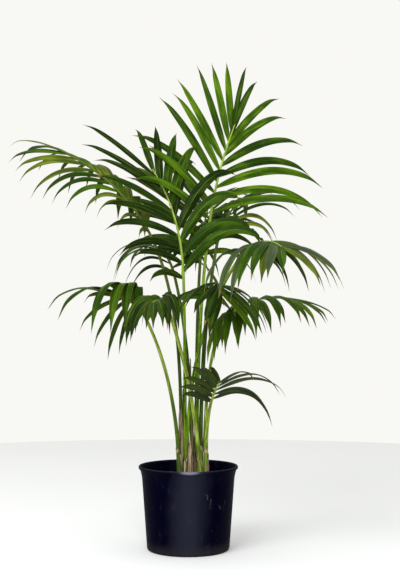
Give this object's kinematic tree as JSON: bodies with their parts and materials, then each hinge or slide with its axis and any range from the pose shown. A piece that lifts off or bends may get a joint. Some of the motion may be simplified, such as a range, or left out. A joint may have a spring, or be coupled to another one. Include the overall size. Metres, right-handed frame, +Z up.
{
  "type": "potted kentia palm",
  "caption": "Young kentia palm: arching feathered fronds on slender green stalks, rising from a clump in a round black nursery pot filled with soil.",
  "frame": {"origin": "centre of the pot's flat underside", "axes": "+Z up through the plant, -Y towards the front, +X to the viewer's right"},
  "size_m": [0.8533, 0.818, 1.3056],
  "materials": {
    "pot": "satin near-black nursery plastic",
    "soil": "loose dark potting mix",
    "shoot": "ribbed green leaf base with brown fibre",
    "dry": "dry brown leaf sheath",
    "petiole": "smooth yellow-green stalk",
    "frond": "satin dark green leaflets"
  },
  "bodies": {
    "root": {"pot": "pot", "soil": "soil", "shoot_left": "shoot", "shoot_right": "shoot", "shoot_back": "shoot", "dry_sheath_front": "dry", "dry_sheath_middle": "dry", "petiole_top": "petiole", "petiole_centre": "petiole", "petiole_left_top": "petiole", "petiole_right_high": "petiole", "petiole_right_mid": "petiole", "petiole_left_mid": "petiole", "petiole_low": "petiole", "petiole_front": "petiole", "petiole_left_near": "petiole", "petiole_back_right": "petiole", "petiole_back_left": "petiole", "petiole_back": "petiole", "frond_top": "frond", "frond_centre": "frond", "frond_left_top": "frond", "frond_right_high": "frond", "frond_right_mid": "frond", "frond_left_mid": "frond", "frond_low": "frond", "frond_front": "frond", "frond_left_near": "frond", "frond_back_right": "frond", "frond_back_left": "frond", "frond_back": "frond"}
  },
  "joints": []
}
